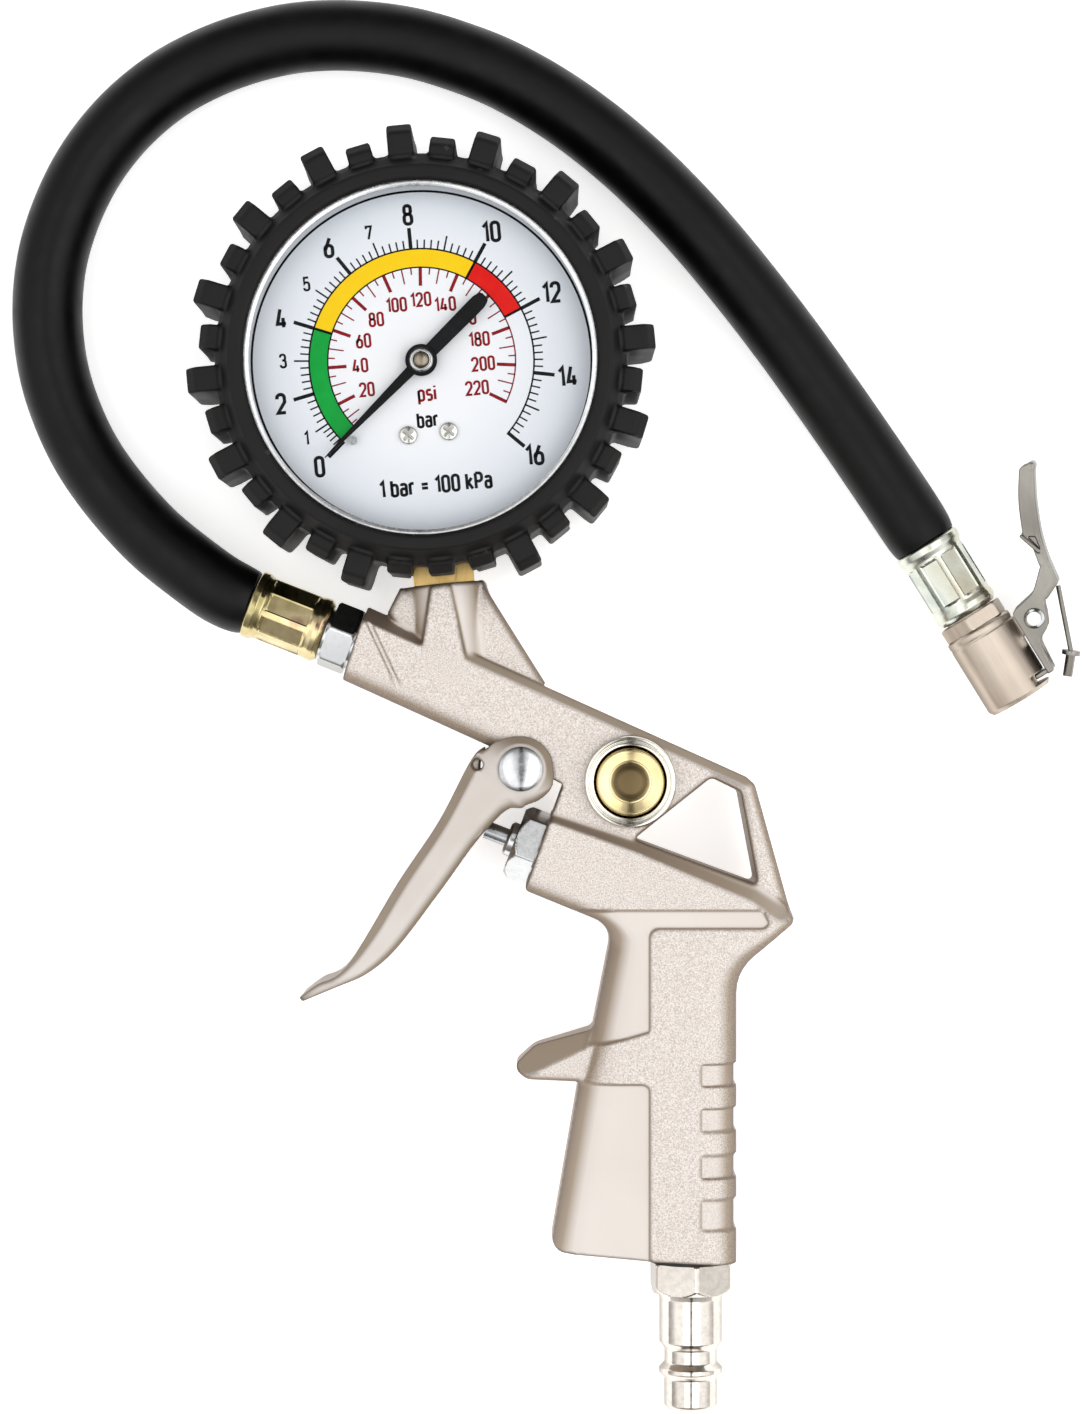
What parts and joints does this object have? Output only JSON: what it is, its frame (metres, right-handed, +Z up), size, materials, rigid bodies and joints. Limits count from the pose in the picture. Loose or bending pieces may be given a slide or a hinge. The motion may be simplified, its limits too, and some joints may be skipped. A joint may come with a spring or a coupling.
{
  "type": "tyre inflator with gauge",
  "caption": "Hand-held tyre inflator: trigger gun with a round dial gauge in a rubber boot, a bleed button, an air inlet plug and a short hose with a clip-on chuck.",
  "frame": {"origin": "on the bench surface under the centre of the tool's bounding box, taken without the hose and chuck", "axes": "the tool lies flat with the dial up: +Z up from the bench, +Y from the inlet plug to the gauge, +X to the side where the hose's chuck lies"},
  "size_m": [0.1985, 0.2614, 0.031],
  "materials": {
    "body_paint": "satin",
    "trigger_paint": "satin",
    "brass_plain": "satin",
    "brass_polished": "polished",
    "case_steel": "satin",
    "boot_rubber": "matte",
    "bezel_steel": "polished",
    "lens_clear": "gloss",
    "seal_rubber": "matte",
    "spacer_black": "matte",
    "dial_white": "satin",
    "pointer_black": "satin",
    "steel_small": "satin",
    "zinc_yellow": "gloss",
    "zinc_clear": "gloss",
    "hose_rubber": "satin",
    "nickel_warm": "satin",
    "lever_steel": "satin",
    "chrome_bright": "polished"
  },
  "bodies": {
    "gun": {"gun_body": "body_paint", "gauge_socket": "brass_plain", "gauge_case": "case_steel", "gauge_boot": "boot_rubber", "gauge_bezel": "bezel_steel", "gauge_lens": "lens_clear", "gauge_lens_gasket": "seal_rubber", "gauge_spacer_ring": "spacer_black", "gauge_dial": "dial_white", "dial_screws": "steel_small", "pointer_stop_pin": "pointer_black", "bourdon_tube": "brass_plain", "bourdon_tip": "brass_plain", "movement_lower_plate": "brass_plain", "movement_upper_plate": "brass_plain", "movement_pillars": "brass_plain", "hairspring": "brass_plain", "hose_nut": "zinc_clear", "gun_ferrule": "zinc_yellow", "hose": "hose_rubber", "chuck_ferrule": "zinc_clear", "chuck_hose_fitting": "nickel_warm", "chuck_body": "nickel_warm", "chuck_seal": "seal_rubber", "chuck_depressor": "brass_plain", "chuck_lever_pin": "chrome_bright", "chuck_lever_spring": "steel_small", "trigger_pin": "chrome_bright", "valve_nut": "chrome_bright", "stem_oring": "seal_rubber", "valve_seat": "brass_plain", "valve_spring": "steel_small", "bleed_bezel": "chrome_bright", "bleed_plug": "brass_plain", "bleed_spring": "steel_small", "inlet_plug": "nickel_warm", "inlet_washer": "seal_rubber"},
    "trigger": {"trigger": "trigger_paint"},
    "valve_stem": {"valve_stem": "steel_small", "valve_washer": "seal_rubber"},
    "bleed_button": {"bleed_button": "brass_polished", "bleed_seal": "seal_rubber"},
    "sector": {"sector_gear": "brass_plain"},
    "link": {"movement_link": "brass_plain"},
    "pointer": {"pinion_shaft": "steel_small", "pointer": "pointer_black", "pointer_cap": "brass_plain"},
    "chuck_lever": {"chuck_lever": "lever_steel", "chuck_lever_wire": "lever_steel"}
  },
  "joints": [
    {"name": "trigger_swing", "type": "hinge", "parent": "gun", "child": "trigger", "pos_m": [0.0056, 0.0006, 0.011], "axis": [0, 0, 1], "range_deg": [0, 14], "stiffness_Nm_per_rad": 1, "springref_deg": -8.59},
    {"name": "stem_slide", "type": "slide", "parent": "gun", "child": "valve_stem", "axis": [0.9352, -0.3541, 0], "range_m": [0, 0.0034], "deforming": ["valve_spring"]},
    {"name": "bleed_slide", "type": "slide", "parent": "gun", "child": "bleed_button", "axis": [0, 0, -1], "range_m": [0, 0.002], "stiffness_N_per_m": 800, "springref_m": -0.002, "deforming": ["bleed_spring"]},
    {"name": "sector_swing", "type": "hinge", "parent": "gun", "child": "sector", "pos_m": [-0.01082, 0.05838, 0.011], "axis": [0, 0, 1], "range_deg": [0, 26.57], "stiffness_Nm_per_rad": 0.002, "springref_deg": -5.73},
    {"name": "link_swing", "type": "hinge", "parent": "sector", "child": "link", "pos_m": [-0.00485, 0.05895, 0.011], "axis": [0, 0, 1], "range_deg": [-27, 0]},
    {"name": "pointer_spin", "type": "hinge", "parent": "gun", "child": "pointer", "pos_m": [-0.0124, 0.0748, 0.011], "axis": [0, 0, 1], "range_deg": [-266, 0]},
    {"name": "chuck_lever_swing", "type": "hinge", "parent": "gun", "child": "chuck_lever", "pos_m": [0.10106, 0.02873, 0.00912], "axis": [-0.1769, -0.1093, 0.9781], "range_deg": [0, 6], "stiffness_Nm_per_rad": 0.3, "springref_deg": -11.46, "deforming": ["chuck_lever_spring"]}
  ],
  "couplings": [
    {"joint": "stem_slide", "follows": "trigger_swing", "m_per_rad": 0.0133},
    {"joint": "pointer_spin", "follows": "sector_swing", "ratio": -10},
    {"joint": "link_swing", "follows": "sector_swing", "ratio": -1}
  ]
}
